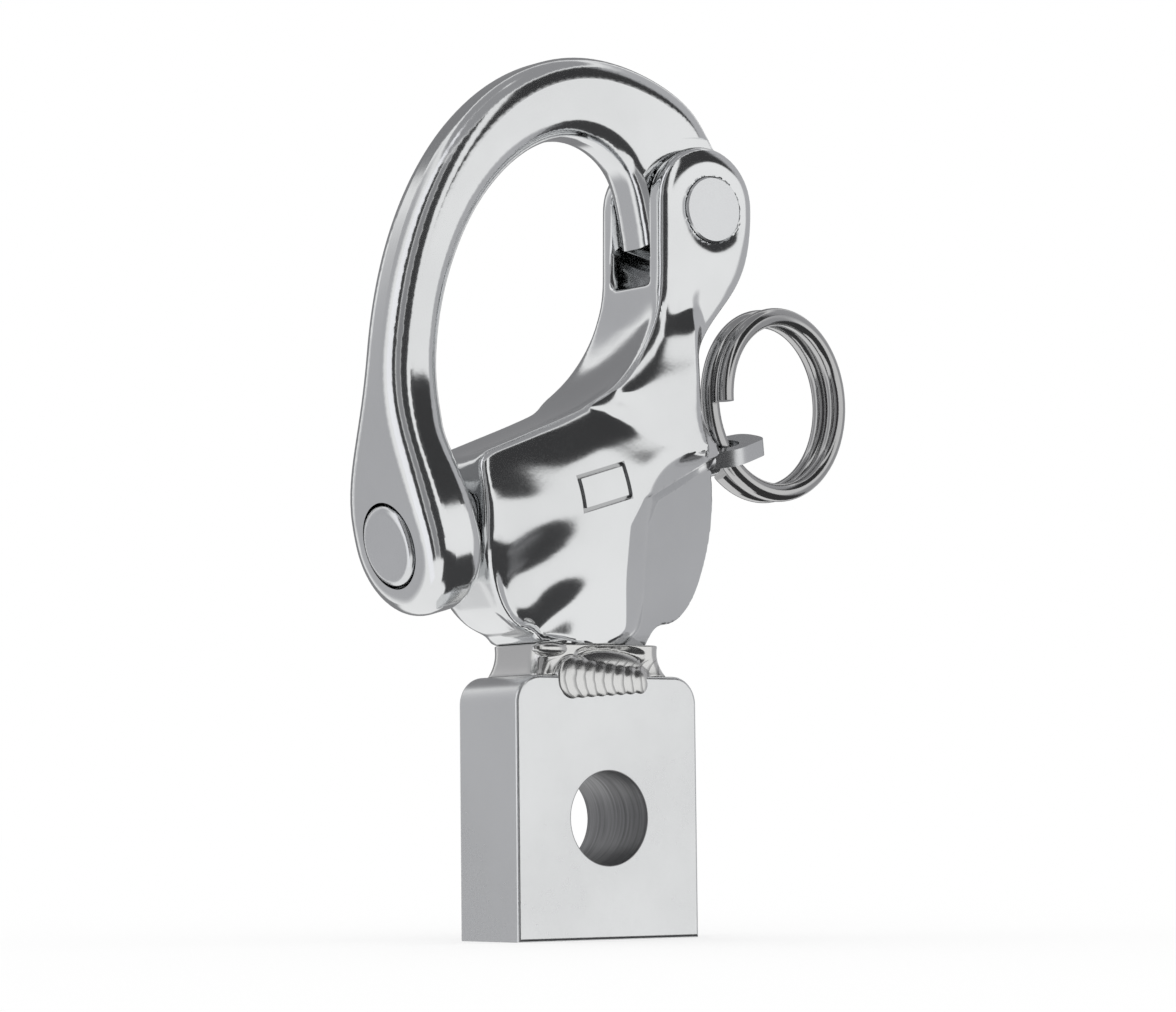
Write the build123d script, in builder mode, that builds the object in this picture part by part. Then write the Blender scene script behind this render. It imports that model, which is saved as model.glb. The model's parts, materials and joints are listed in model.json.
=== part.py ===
"""Furler shackle: a swing-bail snap shackle welded to a drilled mounting block.

Millimetres.  The clevis bore centre is the origin, the bore runs along Y, and Z
runs from the block up through the shackle.  The front is -Y.
"""

import os
from math import cos, radians, sin

from build123d import *

# ---- driving dimensions ----
clevis_pin = 10.0
block_width = 24.0
block_depth = 11.0
block_drop = 13.0
block_rise = 15.3
block_shoulder = 3.0
block_edge = 0.4
weld_height = 3.4
neck_width = 16.6
body_thickness = 12.2
barrel_thickness = 14.8
barrel_rise = 7.1
barrel_drop = 10.4
waist_thickness = 10.4
waist_rise = 10.6
brow_rise = 21.5
body_edge = 1.5
loop_span = 40.65
loop_height = 54.6
pivot_drop = 16.3
pivot_offset = 14.9
pivot_pin_radius = 3.7
ear_radius = 6.5
bail_thickness = 7.2
tongue_thickness = 6.3
bail_width = 6.2
bail_crown = 9.35
bail_edge = 2.7
hub_width = 7.4
eye_radius = 8.15
plunger_height = 28.8
plunger_tilt = 15.0
plunger_radius = 4.4
plunger_travel = 7.2
stem_radius = 2.25
tab_length = 7.4
tab_width = 6.4
tab_thickness = 1.9
tab_roll = 12.5
spring_wire = 0.8
spring_turns = 8
ring_wire = 2.1
ring_outside = 22.0
ring_turns = 1.86
ring_yaw = 8.5
ring_set = 215.7
hole_radius = 1.85
head_proud = 0.5
rim_break = 0.18

# ---- named clearances ----
clevis_fit = 0.1
swing_gap = 0.15
slide_gap = 0.1
pin_fit = 0.02
eye_gap = 0.3
spring_gap = 0.35
seat_gap = 0.02
hub_gap = 0.45
nose_gap = 0.5
turn_gap = 0.15
flat_gap = 0.4

# ---- places that follow from them ----
eye_x = pivot_offset - loop_span + 1.35
crown_z = plunger_height + loop_height
pivot_height = crown_z - pivot_drop
saddle_z = plunger_height + 10.2
slot_half = tongue_thickness / 2 + swing_gap
tongue_reach = ear_radius + 1.5
slot_floor = pivot_height - tongue_reach - nose_gap
bore_radius = plunger_radius + slide_gap
half_body = body_thickness / 2
half_barrel = barrel_thickness / 2
half_waist = waist_thickness / 2
half_neck = block_depth / 2
lean = radians(plunger_tilt)
axis_dir = (cos(lean), 0, sin(lean))
body_start = hub_width + hub_gap
pin_length = body_start + plunger_travel + 0.6
spring_room = 16.0
bore_end = pin_length + spring_room
tab_start = bore_end + 12.25
hole_place = tab_start + 2.6
weld_top = block_rise + weld_height


def on_axis(distance):
    """A plane across the plunger axis, this far in from the bail's outside."""
    place = (eye_x + distance * cos(lean), 0, plunger_height + distance * sin(lean))
    return Plane(origin=place, x_dir=(0, 1, 0), z_dir=axis_dir)


# ---- mounting block ----
with BuildPart() as mounting_block:
    with BuildSketch(Plane.XZ):
        with Locations((0, (block_rise - block_drop) / 2)):
            Rectangle(block_width, block_rise + block_drop)
    extrude(amount=block_depth / 2, both=True)
    shoulders = mounting_block.edges().filter_by(Axis.Y).group_by(Axis.Z)[-1]
    fillet(shoulders, block_shoulder)
    fillet(mounting_block.faces().sort_by(Axis.Y)[0].edges(), block_edge)
    fillet(mounting_block.faces().sort_by(Axis.Y)[-1].edges(), block_edge)
    with BuildSketch(Plane.XZ):
        Circle(clevis_pin / 2 + clevis_fit)
    extrude(amount=block_depth, both=True, mode=Mode.SUBTRACT)
mounting_block.part.label = "mounting_block"

# ---- weld bead: a waisted collar between block and body ----
collar_half = block_width / 2 - block_shoulder
neck_half = neck_width / 2
neck_x = -0.2
with BuildPart() as weld_bead:
    with BuildSketch(Plane.XY.offset(block_rise)):
        with Locations((neck_x / 2, 0)):
            RectangleRounded(2 * collar_half, block_depth - 0.8, 1.5)
    with BuildSketch(Plane.XY.offset(block_rise + weld_height * 0.45)):
        with Locations((neck_x, 0)):
            RectangleRounded(neck_width + 0.3, block_depth - 1.2, 2.0)
    with BuildSketch(Plane.XY.offset(weld_top)):
        with Locations((neck_x, 0)):
            RectangleRounded(neck_width, block_depth - 1.0, 2.0)
    loft()
weld_bead.part.label = "weld_bead"

# ---- shackle body ----
left_x = eye_x + body_start * cos(lean)
neck_left = neck_x - neck_half
neck_right = neck_x + neck_half
arm_x = pivot_offset - 7.2
pivot = (pivot_offset, pivot_height)
ear_x = pivot_offset - 0.6
ear_z = pivot_height + 0.6
with BuildPart() as shackle_body:
    with BuildSketch(Plane.XZ.offset(-barrel_thickness)):
        with BuildLine():
            saddle = Line((left_x + 1.57, saddle_z + 0.32), (left_x + 12.2, saddle_z + 4.55))
            rise = Spline(
                saddle @ 1,
                (arm_x - 4.45, saddle_z + 10.05),
                (arm_x - 1.4, saddle_z + 14.6),
                (arm_x, slot_floor + 3.0),
                tangents=[saddle % 1, (0, 1)],
            )
            ear_side = Line(rise @ 1, (arm_x + 0.1, ear_z))
            ear_top = ThreePointArc(
                ear_side @ 1,
                (ear_x, ear_z + ear_radius),
                (ear_x + ear_radius, ear_z),
            )
            back = Spline(
                ear_top @ 1,
                (ear_x + ear_radius - 2.2, slot_floor),
                (ear_x, saddle_z + 13.2),
                (ear_x + 0.7, saddle_z + 5.5),
                (ear_x + 3.5, saddle_z - 1.5),
                (ear_x + 2.8, plunger_height),
                (neck_right + 3.4, weld_top + 2.6),
                (neck_right, weld_top),
                tangents=[(0, -1), (-0.2, -1)],
            )
            foot = Line(back @ 1, (neck_left, weld_top))
            belly = Spline(
                foot @ 1,
                (neck_left - 1.6, weld_top + 1.3),
                (left_x + 3.6, plunger_height - 6.6),
                (left_x + 1.5, plunger_height - 2.9),
                (left_x, plunger_height + 2.4),
                tangents=[(-0.1, 1), (0, 1)],
            )
            cheek = Line(belly @ 1, (left_x, saddle_z - 2.0))
            corner = TangentArc(cheek @ 1, saddle @ 0, tangent=(0, 1))
        make_face()
    extrude(amount=2 * barrel_thickness)
    # the swelling round the plunger: one section run along the plunger's axis
    with BuildSketch(on_axis(0)):
        with BuildLine():
            swell = Spline(
                (half_neck, -barrel_drop),
                (half_barrel, 0),
                (half_barrel - 0.15, 0.4 * barrel_rise),
                (0.58 * half_waist + 0.42 * half_barrel, barrel_rise),
                (half_waist, waist_rise),
                (half_body, brow_rise),
                tangents=[(0.1, 1), (0, 1)],
            )
            above = Line(swell @ 1, (half_body, 1.2 * loop_height))
            below = Line(swell @ 0, (half_neck, -1.3 * plunger_height))
            Line(above @ 1, (-half_body, 1.2 * loop_height))
            Line(below @ 1, (-half_neck, -1.3 * plunger_height))
            mirror(Curve() + [above, swell, below], about=Plane.YZ)
        make_face()
    extrude(amount=3 * loop_span, both=True, mode=Mode.INTERSECT)
    rims = shackle_body.edges().filter_by(lambda e: abs(e.center().Y) > 0.7 * half_neck)
    rims = rims.filter_by(lambda e: e.center().Z > weld_top + 0.3)
    fillet(rims, body_edge)
    # the slanting flank at the lower right, front and back
    crease_x = ear_x - 12.0
    clear_x = 2 * pivot_offset
    with BuildSketch(Plane.XZ.offset(half_barrel + 0.1), mode=Mode.PRIVATE) as crease:
        with BuildLine():
            near = Spline(
                (ear_x + 1.5, saddle_z + 0.8),
                (crease_x + 1.6, saddle_z - 4.5),
                (crease_x, plunger_height),
                (crease_x - 4.0, weld_top),
            )
            Polyline(near @ 1, (clear_x, weld_top), (clear_x, saddle_z + 0.8), near @ 0)
        make_face()
    with BuildSketch(Plane.XZ.offset(1.0), mode=Mode.PRIVATE) as tip:
        with BuildLine():
            far = Spline(
                (ear_x + 7.0, saddle_z + 3.0),
                (ear_x + 5.0, saddle_z - 4.0),
                (ear_x + 4.0, plunger_height),
                (neck_right + 2.4, weld_top),
            )
            Polyline(far @ 1, (clear_x, weld_top), (clear_x, saddle_z + 3.0), far @ 0)
        make_face()
    flank = loft(sections=[crease.sketch, tip.sketch], ruled=True, mode=Mode.PRIVATE)
    rise_off = extrude(crease.sketch, amount=3, mode=Mode.PRIVATE)
    for cut in (flank, rise_off):
        add(cut, mode=Mode.SUBTRACT)
        add(cut.mirror(Plane.XZ), mode=Mode.SUBTRACT)
    # fork slot
    with BuildSketch(Plane.XY.offset(slot_floor)):
        with Locations((pivot_offset, 0)):
            Rectangle(2 * loop_span, 2 * slot_half)
    extrude(amount=loop_height, mode=Mode.SUBTRACT)
    # plunger bore, stem hole and pivot hole
    with BuildSketch(on_axis(0)):
        Circle(bore_radius)
    extrude(amount=bore_end, mode=Mode.SUBTRACT)
    with BuildSketch(on_axis(0)):
        Circle(stem_radius + slide_gap)
    extrude(amount=2 * loop_span, mode=Mode.SUBTRACT)
    with BuildSketch(Plane.XZ):
        with Locations(pivot):
            Circle(pivot_pin_radius + pin_fit)
    extrude(amount=body_thickness, both=True, mode=Mode.SUBTRACT)
    mouths = shackle_body.edges().filter_by(lambda e: abs(e.center().Y) > half_body - 0.01)
    chamfer(mouths.filter_by(GeomType.CIRCLE), rim_break)
shackle_body.part.label = "shackle_body"

# ---- bail: hub round the plunger, limb, and tongue in the fork ----
def off_axis(distance, height):
    """X and Z of a point this far along the plunger axis and this far above it."""
    return (
        eye_x + distance * cos(lean) - height * sin(lean),
        plunger_height + distance * sin(lean) + height * cos(lean),
    )


crown_x = pivot_offset - 13.5
outer_x = eye_x - 1.85
with BuildPart() as bail:
    with BuildSketch(Plane.XZ.offset(-2 * eye_radius)):
        with BuildLine():
            paddle_out = Line(off_axis(0, -eye_radius), off_axis(0, 2.5))
            outside = Spline(
                paddle_out @ 1,
                (outer_x, plunger_height + 0.3 * loop_height),
                (outer_x + 4.55, plunger_height + 0.68 * loop_height),
                (crown_x - 13.7, crown_z - 5.1),
                (crown_x, crown_z),
                (pivot_offset - 0.9, crown_z - 3.7),
                (pivot_offset + 2.9, pivot_height + 8.2),
                tangents=[paddle_out % 1, (0.65, -1)],
            )
            shoulder = Spline(
                outside @ 1,
                (pivot_offset + 0.675 * tongue_reach, pivot_height + 0.8),
                (pivot_offset, pivot_height - 0.7375 * tongue_reach),
                tangents=[outside % 1, (-1, 0)],
            )
            nose_end = (pivot_offset - 0.86 * tongue_reach, pivot_height - 0.54 * tongue_reach)
            nose_low = Line(shoulder @ 1, nose_end)
            inside = Spline(
                nose_low @ 1,
                (pivot_offset - 0.95 * tongue_reach, pivot_height - 0.2),
                (pivot_offset - 1.125 * tongue_reach, pivot_height + 0.4625 * tongue_reach),
                (crown_x - 0.7, crown_z - bail_crown),
                (outer_x + 14.1, crown_z - 15.5),
                (outer_x + 9.3, plunger_height + 0.57 * loop_height),
                (outer_x + bail_width + 0.7, plunger_height + 0.385 * loop_height),
                (outer_x + bail_width + 0.5, plunger_height + 0.24 * loop_height),
                off_axis(hub_width, 2.5),
                tangents=[(-0.1, 1), (sin(lean), -cos(lean))],
            )
            paddle_in = Line(inside @ 1, off_axis(hub_width, -eye_radius))
            paddle_end = Line(paddle_in @ 1, paddle_out @ 0)
        make_face()
    extrude(amount=4 * eye_radius)
    # seen along the plunger's axis the limb narrows from the eye to the tongue
    with BuildSketch(on_axis(0)):
        with BuildLine():
            bottom = RadiusArc((-eye_radius, 0), (eye_radius, 0), -eye_radius)
            flare = Spline(
                bottom @ 1,
                (0.65 * eye_radius, 0.205 * loop_height),
                (bail_thickness / 2, 0.36 * loop_height),
                tangents=[(0, 1), (0, 1)],
            )
            limb = Line(flare @ 1, (bail_thickness / 2, 1.2 * loop_height))
            Line(limb @ 1, (-bail_thickness / 2, 1.2 * loop_height))
            mirror(Curve() + [flare, limb], about=Plane.YZ)
        make_face()
    extrude(amount=3 * loop_span, both=True, mode=Mode.INTERSECT)
    across = bail.edges().filter_by(Axis.Y)
    along = bail.edges().filter_by(Axis((0, 0, 0), axis_dir))
    rims = bail.edges() - across - along
    fillet(rims, bail_edge)
    with BuildSketch(on_axis(-hub_width)):
        Circle(plunger_radius + eye_gap)
    extrude(amount=3 * hub_width, mode=Mode.SUBTRACT)
    # flats that let the tongue into the fork
    for side in (1, -1):
        with BuildSketch(Plane.XZ.offset(side * tongue_thickness / 2)):
            with Locations(pivot):
                Circle(tongue_reach + flat_gap)
        extrude(amount=side * bail_thickness, mode=Mode.SUBTRACT)
    with BuildSketch(Plane.XZ):
        with Locations(pivot):
            Circle(pivot_pin_radius + slide_gap)
    extrude(amount=body_thickness, both=True, mode=Mode.SUBTRACT)
bail.part.label = "bail"

# ---- bail pin ----
with BuildPart() as bail_pin:
    with BuildSketch(Plane.XZ):
        with Locations(pivot):
            Circle(pivot_pin_radius)
    extrude(amount=body_thickness / 2, both=True)
    chamfer(bail_pin.edges().filter_by(GeomType.CIRCLE), rim_break)
bail_pin.part.label = "bail_pin"

# ---- plunger: head, stem and flattened tab in one ----
roll = radians(tab_roll)
tab_up = (-sin(lean) * cos(roll), -sin(roll), cos(lean) * cos(roll))
hole_point = on_axis(hole_place).origin
tab_plane = Plane(origin=hole_point, x_dir=axis_dir, z_dir=tab_up)
with BuildPart() as plunger:
    with BuildSketch(on_axis(-head_proud)):
        Circle(plunger_radius)
    extrude(amount=pin_length + head_proud)
    nose_rim = plunger.faces().sort_by(Axis((0, 0, 0), axis_dir))[0].edges()
    fillet(nose_rim, 0.8)
    with BuildSketch(on_axis(pin_length - 1.0)):
        Circle(stem_radius)
    extrude(amount=tab_start + 0.4 - pin_length + 1.0)
    with BuildSketch(tab_plane.offset(-tab_thickness / 2)):
        with BuildLine():
            root = tab_start - hole_place
            reach = root + tab_length
            side = Spline(
                (root - 1.4, stem_radius - 0.4),
                (root + 1.6, tab_width / 2),
                (reach - 1.9, 0.8 * tab_width / 2),
                (reach, 0),
                tangents=[(1, 0.3), (0, -1)],
            )
            Line((root - 1.4, stem_radius - 0.4), (root - 1.4, 0.4 - stem_radius))
            mirror(side, about=Plane.XZ)
        make_face()
    extrude(amount=tab_thickness)
    with BuildSketch(tab_plane.offset(-tab_thickness)):
        Circle(hole_radius)
    extrude(amount=2 * tab_thickness, mode=Mode.SUBTRACT)
plunger.part.label = "plunger"

# ---- plunger spring ----
coil_radius = bore_radius - spring_gap - spring_wire / 2 - 0.2
coil_length = spring_room - spring_wire - 2 * seat_gap
with BuildPart() as coil_stock:
    with BuildLine():
        coil = Helix(coil_length / spring_turns, coil_length, coil_radius)
    with BuildSketch(Plane(origin=coil @ 0, z_dir=coil % 0)):
        Circle(spring_wire / 2)
    sweep(path=coil, is_frenet=True)
with BuildPart() as plunger_spring:
    add(coil_stock.part.moved(on_axis(pin_length + spring_wire / 2 + seat_gap).location))
plunger_spring.part.label = "plunger_spring"

# ---- split ring: one wire wound nearly twice, its middle through the tab ----
ring_radius = (ring_outside - ring_wire) / 2
ring_pitch = ring_wire + turn_gap
face = radians(ring_yaw)
ring_across = Vector(cos(face), sin(face), 0)
ring_back = Vector(-sin(face), cos(face), 0)
front_share = 326.0
hole_angle = radians(ring_set)
to_hole = ring_across * cos(hole_angle) + Vector(0, 0, 1) * sin(hole_angle)
ring_centre = hole_point - to_hole * ring_radius
start_angle = hole_angle + radians(front_share)
start_dir = ring_across * cos(start_angle) + Vector(0, 0, 1) * sin(start_angle)
ring_start = ring_centre - ring_back * (ring_pitch * front_share / 360)
with BuildPart() as ring_stock:
    with BuildLine():
        winding = Helix(ring_pitch, ring_pitch * ring_turns, ring_radius)
    with BuildSketch(Plane(origin=winding @ 0, z_dir=winding % 0)):
        Circle(ring_wire / 2)
    sweep(path=winding, is_frenet=True)
with BuildPart() as split_ring:
    add(ring_stock.part.moved(Plane(origin=ring_start, x_dir=start_dir, z_dir=ring_back).location))
split_ring.part.label = "split_ring"


if __name__ == "__main__":
    os.makedirs("parts", exist_ok=True)
    for node in (
        mounting_block,
        weld_bead,
        shackle_body,
        bail,
        bail_pin,
        plunger,
        plunger_spring,
        split_ring,
    ):
        print(node.part.label, node.part.volume, node.part.bounding_box(), node.part.is_valid)
        export_step(node.part, "parts/" + node.part.label + ".step")
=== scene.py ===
"""Furler shackle: steels, dressed forging, weld, spring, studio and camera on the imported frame."""

import json
import math

import bpy
from mathutils import Matrix, Vector


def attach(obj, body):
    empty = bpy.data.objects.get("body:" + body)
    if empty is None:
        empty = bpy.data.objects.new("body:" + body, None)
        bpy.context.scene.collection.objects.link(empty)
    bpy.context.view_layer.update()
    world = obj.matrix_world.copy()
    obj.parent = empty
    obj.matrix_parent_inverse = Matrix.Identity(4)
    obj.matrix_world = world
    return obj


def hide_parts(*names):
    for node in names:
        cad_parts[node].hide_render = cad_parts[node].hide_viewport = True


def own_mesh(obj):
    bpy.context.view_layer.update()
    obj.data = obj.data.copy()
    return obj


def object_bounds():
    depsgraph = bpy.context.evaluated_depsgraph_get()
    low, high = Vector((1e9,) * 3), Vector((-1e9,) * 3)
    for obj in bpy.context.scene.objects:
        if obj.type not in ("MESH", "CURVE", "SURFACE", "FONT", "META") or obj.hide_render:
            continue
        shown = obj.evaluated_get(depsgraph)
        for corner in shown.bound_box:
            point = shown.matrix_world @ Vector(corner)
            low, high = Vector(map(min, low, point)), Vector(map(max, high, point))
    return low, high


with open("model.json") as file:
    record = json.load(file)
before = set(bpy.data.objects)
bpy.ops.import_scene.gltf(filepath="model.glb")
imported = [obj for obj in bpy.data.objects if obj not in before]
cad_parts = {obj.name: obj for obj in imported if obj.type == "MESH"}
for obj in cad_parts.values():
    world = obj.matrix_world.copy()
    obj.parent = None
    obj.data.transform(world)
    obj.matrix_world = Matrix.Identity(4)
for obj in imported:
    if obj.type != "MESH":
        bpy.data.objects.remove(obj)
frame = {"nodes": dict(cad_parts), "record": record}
cad_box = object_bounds()

# Sizes and places are in millimetres and angles in degrees, and MM makes them metres.
MM = 0.001

bore_mount = next(m for m in frame["record"]["mounts"] if m["name"] == "clevis_bore")
BORE_RADIUS = bore_mount["dims"]["r_mm"]

slide = next(j for j in frame["record"]["behaviour"]["joints"] if j["name"] == "plunger_slide")
SLIDE_AXIS = Vector(slide["axis"]).normalized()
SLIDE_RISE = Vector((-SLIDE_AXIS.z, 0.0, SLIDE_AXIS.x))
# The middle of the bail's eye, which the plunger's axis runs through.
EYE_MIDDLE = Vector((-24.4, 0.0, 28.8)) * MM

# The bare stamped frame on the barrel: its middle, size, line, corners, cutter and lean.
STAMP_X, STAMP_Y, STAMP_Z = -1.35, -7.1, 35.5
STAMP_WIDE, STAMP_TALL = 6.7, 4.15
STAMP_LINE = 0.46
STAMP_CORNER = 0.55
STAMP_CUTTER = 0.8
STAMP_LEAN = 16.3

# The ripples on the front of the weld: how many, the first one's middle and the step to the next.
RIPPLES = 8
RIPPLE_X, RIPPLE_Y, RIPPLE_Z = -4.2, -5.06, 14.9
RIPPLE_STEP = 1.26

# How finely the skins of body and weld are worked, and the sharpest corners shaded as round.
BODY_GRAIN = 0.27
WELD_GRAIN = 0.13
SOFT_CREASE = 40
WELD_CREASE = 60

# How far each part of the body is filled, raised or hollowed.
ROOT_FILL = 1.6
BROW_RISE = 0.26
FLANK_DROP = 1.5
INNER_DROP = 0.55
UPPER_HOLLOW_DROP = 1.2
LOWER_HOLLOW_DROP = 1.9
ARM_HOLLOW_DROP = 0.6

# How many times each skin or place is smoothed.
BODY_WEAR = 7
WELD_WEAR = 4
FACE_POLISH = 110
RIM_POLISH = 16
CORNER_POLISH = 60

# Outputs of the Texture Coordinate node.
UV_COORDINATES = 2
OBJECT_COORDINATES = 3


# ---------------------------------------------------------------- shader wiring
class Wire:
    """One socket in a node tree. Arithmetic on it adds the Math nodes it needs."""

    def __init__(self, maker, socket):
        self.maker = maker
        self.socket = socket

    def __add__(self, other):
        return self.maker.maths("ADD", self, other)

    def __radd__(self, other):
        return self.maker.maths("ADD", other, self)

    def __sub__(self, other):
        return self.maker.maths("SUBTRACT", self, other)

    def __rsub__(self, other):
        return self.maker.maths("SUBTRACT", other, self)

    def __mul__(self, other):
        return self.maker.maths("MULTIPLY", self, other)

    def __rmul__(self, other):
        return self.maker.maths("MULTIPLY", other, self)

    def __truediv__(self, other):
        return self.maker.maths("DIVIDE", self, other)

    def __rtruediv__(self, other):
        return self.maker.maths("DIVIDE", other, self)

    def __pow__(self, other):
        return self.maker.maths("POWER", self, other)

    def __rpow__(self, other):
        return self.maker.maths("POWER", other, self)


class Wiring:
    """Adds nodes to one tree, settings first and sockets after."""

    def __init__(self, tree):
        self.tree = tree
        self.tree.nodes.clear()

    def node(self, kind, settings=None, sockets=None, out=0):
        """Add a node and return the wire of one output, or None where it has no outputs."""
        made = self.tree.nodes.new(kind)
        for name, value in (settings or {}).items():
            setattr(made, name, value)
        for name, value in (sockets or {}).items():
            if isinstance(value, Wire):
                self.tree.links.new(value.socket, made.inputs[name])
            else:
                made.inputs[name].default_value = value
        return Wire(self, made.outputs[out]) if made.outputs else None

    def maths(self, operation, first, second=0.0):
        """One Math node on one or two values."""
        return self.node("ShaderNodeMath", {"operation": operation}, {0: first, 1: second})

    def mix(self, amount, first, second):
        """Mix two colours; sockets 0, 6 and 7 are the colour mix's factor, A and B."""
        return self.node(
            "ShaderNodeMix",
            {"data_type": "RGBA"},
            {0: amount, 6: first, 7: second},
            out=2,
        )

    def step(self, value, low, high, start=0.0, stop=1.0):
        """Ease from start to stop while the value goes from low to high."""
        return self.node(
            "ShaderNodeMapRange",
            {"interpolation_type": "SMOOTHSTEP"},
            {0: value, 1: low, 2: high, 3: start, 4: stop},
        )

    def split(self, vector):
        """The three parts of a vector, each a wire."""
        first = self.node("ShaderNodeSeparateXYZ", None, {0: vector})
        return [Wire(self, output) for output in first.socket.node.outputs]

    def millimetres(self, place):
        """The three coordinates of a place, each a wire in millimetres."""
        return [part / MM for part in self.split(place)]


def new_material(name):
    """A material with an empty tree, and its wiring."""
    material = bpy.data.materials.new(name)
    material.use_nodes = True
    return material, Wiring(material.node_tree)


# ---------------------------------------------------------------- painted shade and drilling rings on the steel
def stamp_groove_shade(w, place):
    """Painted shade in the groove of the stamped frame."""
    x, y, z = w.millimetres(place)
    cosine = math.cos(math.radians(STAMP_LEAN))
    sine = math.sin(math.radians(STAMP_LEAN))
    across = (x - STAMP_X) * cosine + (z - STAMP_Z) * sine
    up = (z - STAMP_Z) * cosine - (x - STAMP_X) * sine
    past_side = w.maths("ABSOLUTE", across) - STAMP_WIDE / 2
    past_top = w.maths("ABSOLUTE", up) - STAMP_TALL / 2
    edge = w.maths("MAXIMUM", past_side, past_top)
    inner_line = w.step(edge, -STAMP_LINE - 0.08, -STAMP_LINE + 0.02)
    outer_line = w.step(edge, -0.02, 0.08, 1.0, 0.0)
    front_only = w.step(y, -5.5, -5.0, 1.0, 0.0)
    return inner_line * outer_line * front_only * 0.5


def bore_shade_and_rings(w, place):
    """The drilled wall of the clevis bore: painted shade darkens it, with fine drilling rings round
    it.
    """
    x, _, z = w.millimetres(place)
    radius = (x * x + z * z) ** 0.5
    stretched = w.node("ShaderNodeMapping", None, {"Vector": place, "Scale": (0.25, 6.0, 0.25)})
    rings = w.node("ShaderNodeTexNoise", None, {"Vector": stretched, "Scale": 420.0, "Detail": 3.0})
    return w.step(radius, BORE_RADIUS + 0.03, BORE_RADIUS + 0.12, 1.0, 0.0) * (0.55 + rings * 0.6)


def ripple_crease_shade(w, place):
    """Painted shade: thin dark lines in the creases between the ripples of the weld, each an arc of
    the ripple's radius.
    """
    x, y, z = w.millimetres(place)
    radius_squared = 5.3
    up = z - RIPPLE_Z
    reach = w.maths("MAXIMUM", radius_squared - up * up, 0.0) ** 0.5
    wander = w.node("ShaderNodeTexNoise", None, {"Vector": place, "Scale": 500.0, "Detail": 2.0})
    share = w.maths("FRACT", (x + reach - RIPPLE_X + wander * 0.7) / RIPPLE_STEP)
    line = w.step(share, 0.62, 0.95)
    front_only = w.step(y, -4.6, -4.0, 1.0, 0.0)
    near_middle = w.step(reach, 0.2, 1.2)
    return line * front_only * near_middle * 0.55


# ---------------------------------------------------------------- steels
# The colour of the painted shade in groove, creases and bore, and of the drilling rings in the bore.
SHADE_AND_RING_COLOUR = (0.16, 0.16, 0.165, 1.0)


def polished_steel(name, colour, rough, ripple, shade_and_rings=None):
    """Bright forged stainless: mirror with faint waviness, fine scratches and mottled gloss."""
    steel, w = new_material(name)
    place = w.node("ShaderNodeTexCoord", out=OBJECT_COORDINATES)
    swell = w.node("ShaderNodeTexNoise", None, {"Vector": place, "Scale": 130.0, "Detail": 2.0})
    fine = w.node("ShaderNodeTexNoise", None, {"Vector": place, "Scale": 1900.0, "Detail": 4.0})
    patches = w.node("ShaderNodeTexNoise", None, {"Vector": place, "Scale": 60.0, "Detail": 5.0})
    gloss = rough + (patches - 0.5) * 0.08 + (fine - 0.5) * 0.05
    height = swell * ripple + fine * 0.02
    bump = w.node("ShaderNodeBump", None, {"Strength": 0.35, "Distance": 0.0004, "Height": height})
    dulled = tuple(0.93 * part for part in colour[:3]) + (1.0,)
    tone = w.mix(w.step(patches, 0.35, 0.7), colour, dulled)
    # Painted shade, and in the bore drilling rings too, darkens the colour where the mask says.
    if shade_and_rings:
        dark = shade_and_rings(w, place)
        tone = w.mix(dark, tone, SHADE_AND_RING_COLOUR)
        gloss = gloss + dark * 0.2
    skin = w.node(
        "ShaderNodeBsdfPrincipled",
        None,
        {"Base Color": tone, "Metallic": 1.0, "Roughness": gloss, "Normal": bump},
    )
    w.node("ShaderNodeOutputMaterial", None, {"Surface": skin})
    return steel


BRIGHT = (0.745, 0.755, 0.76, 1.0)
GROUND = (0.70, 0.71, 0.72, 1.0)
DRAWN = (0.5, 0.5, 0.5, 1.0)
FUSED = (0.70, 0.70, 0.69, 1.0)

forged = polished_steel("forged_stainless", BRIGHT, 0.12, 0.25)
# Painted shade: in the body's stamped groove, in the block's bore (with real drilling rings) and
# between the weld's ripples.
body_steel = polished_steel("body_stainless", BRIGHT, 0.12, 0.25, stamp_groove_shade)
flat_bar = polished_steel("block_stainless", BRIGHT, 0.26, 0.1, bore_shade_and_rings)
pin_steel = polished_steel("pin_stainless", GROUND, 0.22, 0.1)
wire_steel = polished_steel("wire_stainless", DRAWN, 0.12, 0.05)
weld_steel = polished_steel("weld_metal", FUSED, 0.2, 0.4, ripple_crease_shade)

finish_of = {
    "shackle_body": body_steel,
    "bail": forged,
    "mounting_block": flat_bar,
    "bail_pin": pin_steel,
    "plunger": pin_steel,
    "plunger_spring": wire_steel,
    "split_ring": wire_steel,
    "weld_bead": weld_steel,
}
for name, steel in finish_of.items():
    frame["nodes"][name].data.materials.clear()
    frame["nodes"][name].data.materials.append(steel)


# ---------------------------------------------------------------- hand tools
def only(piece):
    """Leave this one piece selected and active."""
    if bpy.context.object and bpy.context.object.mode != "OBJECT":
        bpy.ops.object.mode_set(mode="OBJECT")
    bpy.ops.object.select_all(action="DESELECT")
    piece.select_set(True)
    bpy.context.view_layer.objects.active = piece


def finish_with(piece, kind, **settings):
    """Add one modifier and apply it."""
    only(piece)
    bpy.ops.object.modifier_add(type=kind)
    modifier = piece.modifiers[-1]
    for name, value in settings.items():
        setattr(modifier, name, value)
    bpy.ops.object.modifier_apply(modifier=modifier.name)


def settle(piece):
    """Put the piece's place into its mesh."""
    only(piece)
    bpy.ops.object.transform_apply(location=True, rotation=True, scale=True)


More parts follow.
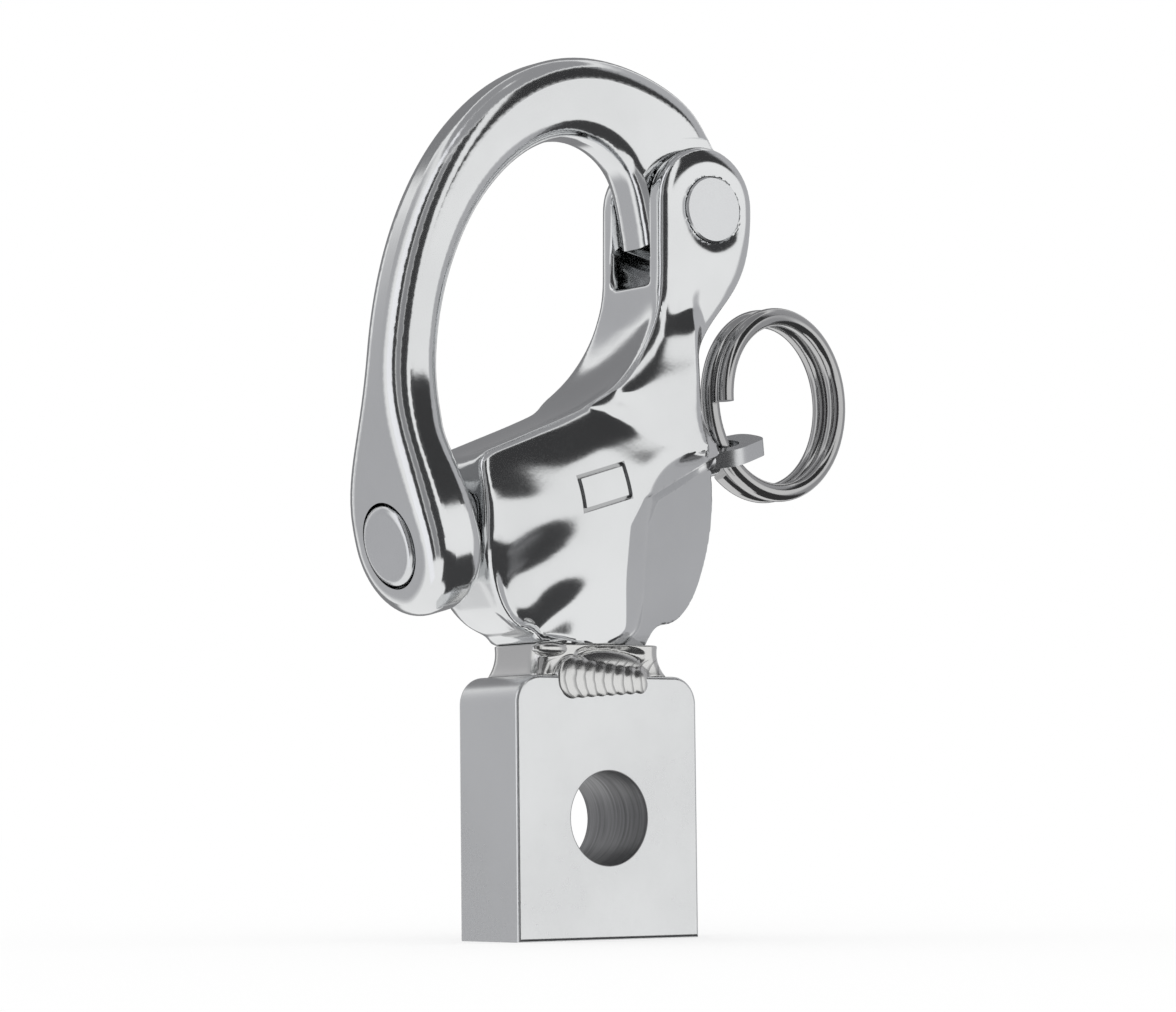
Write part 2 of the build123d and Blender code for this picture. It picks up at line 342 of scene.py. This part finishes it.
def merged_copy(node, name):
    """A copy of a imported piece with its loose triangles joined."""
    piece = bpy.data.objects.new(name, frame["nodes"][node].data.copy())
    bpy.context.scene.collection.objects.link(piece)
    only(piece)
    bpy.ops.object.mode_set(mode="EDIT")
    bpy.ops.mesh.select_all(action="SELECT")
    bpy.ops.mesh.remove_doubles(threshold=0.002 * MM)
    bpy.ops.object.mode_set(mode="OBJECT")
    return piece


def weigh(piece, where):
    """A vertex group that holds the weight of each corner, from its place and normal."""
    group = piece.vertex_groups.new(name="reach")
    for corner in piece.data.vertices:
        weight = where(corner.co, corner.normal)
        if weight > 0.001:
            group.add([corner.index], min(weight, 1.0), "REPLACE")
    return group.name


def press(piece, depth, where, direction="NORMAL"):
    """Move the skin by this many millimetres where the weights say, along its normal or an axis."""
    finish_with(
        piece,
        "DISPLACE",
        strength=depth * MM,
        mid_level=0.0,
        direction=direction,
        vertex_group=weigh(piece, where),
    )
    piece.vertex_groups.clear()


def fair(piece, passes, where):
    """Smooth the skin this many times where the weights say."""
    finish_with(piece, "SMOOTH", factor=0.5, iterations=passes, vertex_group=weigh(piece, where))
    piece.vertex_groups.clear()


def ball(middle, half_sizes, turn=(0.0, 0.0, 0.0), name="ball"):
    """A closed oval, as a cutter or to be fused into a piece."""
    bpy.ops.object.select_all(action="DESELECT")
    bpy.ops.mesh.primitive_uv_sphere_add(
        segments=48,
        ring_count=24,
        radius=1.0,
        location=Vector(middle) * MM,
        rotation=[math.radians(angle) for angle in turn],
    )
    made = bpy.context.object
    made.name = name
    made.scale = Vector(half_sizes) * MM
    settle(made)
    return made


def cut_away(piece, cutter):
    """Cut one piece with another, which is then thrown away."""
    finish_with(piece, "BOOLEAN", operation="DIFFERENCE", solver="EXACT", object=cutter)
    bpy.data.objects.remove(cutter)


def dress(piece, steel, crease):
    """Shade the piece smooth up to the crease angle and give it its steel."""
    only(piece)
    bpy.ops.object.shade_smooth_by_angle(angle=math.radians(crease))
    piece.data.materials.clear()
    piece.data.materials.append(steel)


def ease(value, low, high):
    """From 0 at low to 1 at high, level at both ends."""
    share = min(max((value - low) / (high - low), 0.0), 1.0)
    return share * share * (3.0 - 2.0 * share)


def hill(value, top, spread):
    """A soft round hill, 1 at its top."""
    return math.exp(-(((value - top) / spread) ** 2))


# ---------------------------------------------------------------- where the forging is dressed
def height_over_plunger(point):
    """Height above the plunger's axis, square to it."""
    return (point - EYE_MIDDLE).dot(SLIDE_RISE) / MM


def broad_faces(point, normal):
    """The front and back faces, and not the rims between them."""
    return ease(abs(normal.y), 0.6, 0.85)


def left_rim(point, normal):
    """The rims of both faces on the left, where the hollows run out."""
    return ease(-point.x / MM, 3.0, 7.0) * ease(abs(point.y) / MM, 3.0, 4.5)


def arm_root(side):
    """The hollow corner between saddle and arm, on one side of the body."""
    fullest = 10.9

    def weight(point, normal):
        x, height = point.x / MM, height_over_plunger(point)
        inner_end = 1.2 + (10.3 - height) * 1.5
        fill = hill(height, fullest, 5.1 if height < fullest else 6.4)
        fill *= 1.0 - ease(height, 17.0, 22.0)
        fill *= 1.0 - ease(x, 11.5, 14.0)
        return fill * ease(x, inner_end - 5.5, inner_end) * ease(point.y * side / MM, 2.2, 4.6)

    return weight


def barrel_brow(point, normal):
    """A low swelling along the top of the plunger's barrel."""
    x = point.x / MM
    crest = hill(height_over_plunger(point), 5.6, 2.2) * ease(x, -9.0, -2.0)
    return crest * (1.0 - ease(x, 8.0, 12.0)) * ease(abs(normal.y), 0.4, 0.8)


def lower_flank(side):
    """The flank under the arm, which turns back from a crease that leans out as it rises."""

    def weight(point, normal):
        x, z = point.x / MM, point.z / MM
        crease = 2.6 + 0.5 * max(z - 31.5, 0.0) + 1.75 * max(z - 34.5, 0.0)
        crease -= 0.9 * max(20.6 - z, 0.0) ** 1.6
        past_crease = min(max(x - crease, 0.0) / 3.8, 1.0)
        return past_crease * min(max(point.y * side / (4.5 * MM), 0.0), 1.0)

    return weight


def inner_side(point, normal):
    """The inside of the loop along saddle and arm, deepest at mid thickness."""
    across = point.y / (5.6 * MM)
    height = point.z / MM
    facing = ease(-normal.x * 0.9 + normal.z * 0.45, 0.3, 0.8)
    hollow = max(1.0 - across * across, 0.0) * facing
    return hollow * ease(height, 36.0, 40.0) * (1.0 - ease(height, 54.0, 58.0))


def oval(point, middle, long_half, short_half, slant):
    """A soft oval seen from the front, its long way leaning by the slant."""
    across = point.x / MM - middle[0]
    up = point.z / MM - middle[1]
    turn = math.radians(slant)
    length = (across * math.cos(turn) + up * math.sin(turn)) / long_half
    width = (up * math.cos(turn) - across * math.sin(turn)) / short_half
    return math.exp(-(length * length + width * width))


def front_oval(middle, long_half, short_half, slant):
    """A soft oval on the front face alone."""

    def weight(point, normal):
        return oval(point, middle, long_half, short_half, slant) * ease(-normal.y, 0.55, 0.9)

    return weight


def band_corner(point, normal):
    """Where the saddle runs into the arm, on both faces."""
    return oval(point, middle=(4.0, 45.2), long_half=4.5, short_half=2.4, slant=32)


UPPER_HOLLOW = front_oval(middle=(-10.9, 25.3), long_half=7.2, short_half=3.2, slant=37)
LOWER_HOLLOW = front_oval(middle=(-7.9, 19.8), long_half=5.2, short_half=3.2, slant=40)
ARM_HOLLOW = front_oval(middle=(11.4, 56.0), long_half=3.2, short_half=1.7, slant=25)


# ---------------------------------------------------------------- the forging
def stamp_frame():
    """The cutter for a bare stamped frame: a rounded oblong ring on the crest of the barrel."""
    bpy.ops.object.select_all(action="DESELECT")
    bpy.ops.mesh.primitive_cube_add(size=1.0)
    ring = bpy.context.object
    ring.name = "stamp"
    ring.scale = (STAMP_WIDE * MM, STAMP_CUTTER * MM, STAMP_TALL * MM)
    settle(ring)
    bpy.ops.object.mode_set(mode="EDIT")
    bpy.ops.mesh.select_mode(type="EDGE")
    bpy.ops.mesh.select_all(action="DESELECT")
    bpy.ops.object.mode_set(mode="OBJECT")
    for edge in ring.data.edges:
        first, second = (ring.data.vertices[i].co for i in edge.vertices)
        edge.select = abs(first.y - second.y) > STAMP_CUTTER * MM / 2
    bpy.ops.object.mode_set(mode="EDIT")
    bpy.ops.mesh.bevel(offset=STAMP_CORNER * MM, segments=5)
    bpy.ops.mesh.select_mode(type="FACE")
    bpy.ops.mesh.select_all(action="DESELECT")
    bpy.ops.object.mode_set(mode="OBJECT")
    for face in ring.data.polygons:
        face.select = abs(face.normal.y) > 0.9
    bpy.ops.object.mode_set(mode="EDIT")
    bpy.ops.mesh.inset(thickness=STAMP_LINE * MM)
    bpy.ops.mesh.bridge_edge_loops()
    bpy.ops.object.mode_set(mode="OBJECT")
    only(ring)
    ring.rotation_euler = (0.0, math.radians(-STAMP_LEAN), 0.0)
    ring.location = Vector((STAMP_X, STAMP_Y, STAMP_Z)) * MM
    settle(ring)
    return ring


def under_cut():
    """The cutter for the dark hollow above the ripples, between body and weld."""
    return ball((0.8, -6.5, 17.5), (6.6, 2.4, 1.6), name="under_cut")


def forged_body():
    """The body as dressed by hand: filled root of the arm, scooped flanks, soft hollows."""
    body = merged_copy("shackle_body", "forged_body")
    for side in (-1, 1):
        cut_away(body, ball((16.7, 9.2 * side, 46.5), (5.2, 6.0, 10.5), name="scoop"))
    finish_with(body, "REMESH", mode="VOXEL", voxel_size=BODY_GRAIN * MM)
    finish_with(body, "SMOOTH", factor=0.5, iterations=BODY_WEAR)
    fair(body, FACE_POLISH, broad_faces)
    for side in (1, -1):
        press(body, ROOT_FILL * side, arm_root(side), "Y")
    press(body, BROW_RISE, barrel_brow)
    for side in (1, -1):
        press(body, -FLANK_DROP * side, lower_flank(side), "Y")
    press(body, -INNER_DROP, inner_side)
    fair(body, RIM_POLISH, left_rim)
    press(body, -UPPER_HOLLOW_DROP, UPPER_HOLLOW)
    press(body, -LOWER_HOLLOW_DROP, LOWER_HOLLOW)
    fair(body, RIM_POLISH, left_rim)
    press(body, -ARM_HOLLOW_DROP, ARM_HOLLOW)
    fair(body, CORNER_POLISH, band_corner)
    cut_away(body, under_cut())
    cut_away(body, stamp_frame())
    dress(body, body_steel, SOFT_CREASE)
    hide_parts("shackle_body")
    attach(body, "fixed")


forged_body()


# ---------------------------------------------------------------- the weld
def front_ripples():
    """Overlapping discs, each with its left edge proud, shrinking to the right."""
    for count in range(RIPPLES):
        share = count / (RIPPLES - 1)
        middle = (RIPPLE_X + RIPPLE_STEP * count, RIPPLE_Y, RIPPLE_Z - 0.3 * share)
        radius = 2.5 - 0.9 * share
        yield ball(middle, (radius, 0.58, radius), (-3, 9 * share, 7), "ripple")


def back_ripples():
    """The plainer row behind, all of one size."""
    for count in range(RIPPLES):
        share = count / (RIPPLES - 1)
        yield ball((5.0 - 9.4 * share, 5.1, 15.7), (2.2, 0.5, 2.0), (4, 0, 10), "ripple")


def weld_seam():
    """The weld: a waisted collar, rows of overlapping ripples and a lip, fused into one skin."""
    seam = merged_copy("weld_bead", "weld_seam")
    parts = list(front_ripples())
    parts.append(ball((0.3, -4.62, 14.9), (6.4, 0.75, 3.2), name="pad"))
    parts.extend(back_ripples())
    parts.append(ball((-7.0, -4.5, 18.15), (2.3, 0.9, 0.8), name="lip"))
    cut_away(seam, under_cut())
    only(seam)
    for piece in parts:
        piece.select_set(True)
    bpy.ops.object.join()
    finish_with(seam, "REMESH", mode="VOXEL", voxel_size=WELD_GRAIN * MM)
    finish_with(seam, "SMOOTH", factor=0.5, iterations=WELD_WEAR)
    dress(seam, weld_steel, WELD_CREASE)
    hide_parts("weld_bead")
    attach(seam, "fixed")


weld_seam()


# ---------------------------------------------------------------- the plunger's spring
def coil_spring():
    """The spring behind the plunger, in its drawn wire steel."""
    spring = merged_copy("plunger_spring", "coil_spring")
    places = [corner.co.dot(SLIDE_AXIS) for corner in spring.data.vertices]
    keep = 1.0 - slide["range_m"][1] / (max(places) - min(places))
    dress(spring, wire_steel, SOFT_CREASE)
    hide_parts("plunger_spring")
    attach(spring, "fixed")
    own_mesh(spring)


coil_spring()


# ---------------------------------------------------------------- studio
# The cards stand on a sphere this far out, round a point this high, over a floor this wide,
# all in metres.
CARD_REACH = 1.6
CARD_MIDDLE = 0.035
FLOOR_WIDE = 8.0


def white_tent():
    """An even white surround, which the metal shows wherever no card stands."""
    world = bpy.data.worlds.new("white_tent")
    bpy.context.scene.world = world
    world.use_nodes = True
    w = Wiring(world.node_tree)
    back = w.node("ShaderNodeBackground", None, {"Color": (1.0, 1.0, 1.0, 1.0), "Strength": 1.0})
    w.node("ShaderNodeOutputWorld", None, {"Surface": back})


def card_tone(name, level, fade_across, fade_up):
    """A glowing tone that fades out over these shares of the card at its edges."""
    tone, w = new_material(name)
    across, up, _ = w.split(w.node("ShaderNodeTexCoord", out=UV_COORDINATES))
    mask = w.step(across, 0.0, fade_across) * w.step(1.0 - across, 0.0, fade_across)
    mask = mask * w.step(up, 0.0, fade_up) * w.step(1.0 - up, 0.0, fade_up)
    clear = w.node("ShaderNodeBsdfTransparent")
    cool = (level, level, level * 1.03, 1.0)
    glow = w.node("ShaderNodeEmission", None, {"Color": cool, "Strength": 1.0})
    both = w.node("ShaderNodeMixShader", None, {0: mask, 1: clear, 2: glow})
    w.node("ShaderNodeOutputMaterial", None, {"Surface": both})
    return tone


def card(name, azimuths, heights, level, fade=3.6):
    """A curved reflector between two azimuths and two heights, seen only in the metal."""
    wide = azimuths[1] - azimuths[0]
    tall = heights[1] - heights[0]
    bpy.ops.object.select_all(action="DESELECT")
    bpy.ops.mesh.primitive_grid_add(x_subdivisions=32, y_subdivisions=16, size=1.0)
    sheet = bpy.context.object
    sheet.name = name
    for corner in sheet.data.vertices:
        azimuth = math.radians(azimuths[0] + wide * (corner.co.x + 0.5))
        height = math.radians(heights[0] + tall * (corner.co.y + 0.5))
        corner.co = (
            CARD_REACH * math.cos(height) * math.cos(azimuth),
            CARD_REACH * math.cos(height) * math.sin(azimuth),
            CARD_MIDDLE + CARD_REACH * math.sin(height),
        )
    sheet.data.materials.append(card_tone(name, level, fade / wide, fade / tall))
    sheet.visible_camera = False
    sheet.visible_diffuse = False
    sheet.visible_shadow = False
    sheet.visible_transmission = False


def floor_under(box):
    """A pale floor just under the block, white to the camera away from the object's shadow."""
    bpy.ops.object.select_all(action="DESELECT")
    just_below = box[0][2] - 0.02 * MM
    bpy.ops.mesh.primitive_plane_add(size=FLOOR_WIDE, location=(0, 0, just_below))
    floor = bpy.context.object
    floor.name = "floor"
    paint, w = new_material("pale_floor")
    matt = w.node("ShaderNodeBsdfDiffuse", None, {"Color": (1.0, 1.0, 1.0, 1.0)})
    glow = w.node("ShaderNodeEmission", None, {"Color": (1.0, 1.0, 1.0, 1.0), "Strength": 1.0})
    seen = w.node("ShaderNodeLightPath")
    both = w.node("ShaderNodeMixShader", None, {0: seen * 0.6, 1: matt, 2: glow})
    w.node("ShaderNodeOutputMaterial", None, {"Surface": both})
    floor.data.materials.append(paint)
    floor.visible_glossy = False


def camera_in_front():
    """A long lens from the front left, level with the clevis bore; its place is in metres."""
    lens = bpy.data.cameras.new("camera")
    lens.lens = 122.45
    lens.sensor_width = 36.0
    lens.clip_start = 0.01
    holder = bpy.data.objects.new("camera", lens)
    bpy.context.scene.collection.objects.link(holder)
    right = Vector((0.8085, -0.5884, -0.0106)).normalized()
    up = Vector((-0.0382, -0.0705, 0.9968)).normalized()
    ahead = up.cross(right)
    turned = Matrix((right, up, -ahead)).transposed().to_4x4()
    place = (-0.2553, -0.3524, -0.0007)
    holder.matrix_world = Matrix.Translation(place) @ turned
    bpy.context.scene.camera = holder


camera_in_front()
white_tent()
floor_under(cad_box)
card("flag_by_camera", azimuths=(-126, -94), heights=(-40, 58), level=0.06)
card("grey_by_camera", azimuths=(-150, -123), heights=(-40, 58), level=0.3, fade=6.0)
card("flag_far_left", azimuths=(-168, -148), heights=(-40, 58), level=0.05)
card("flag_above_right", azimuths=(-80, -20), heights=(17, 56), level=0.05)
card("grey_card_right", azimuths=(-36, 34), heights=(-30, 56), level=0.5, fade=9.6)
card("dim_card_behind", azimuths=(34, 104), heights=(-30, 56), level=0.26, fade=6.0)
card("dark_card_below", azimuths=(-110, 30), heights=(-72, -19), level=0.06)
card("grey_card_left", azimuths=(104, 160), heights=(-40, 56), level=0.5, fade=18.0)
card("strip_light_left", azimuths=(166, 196), heights=(-60, 70), level=1.1)
card("grey_ceiling", azimuths=(-180, 180), heights=(56, 89), level=0.36)

bpy.context.scene.view_settings.view_transform = "Standard"
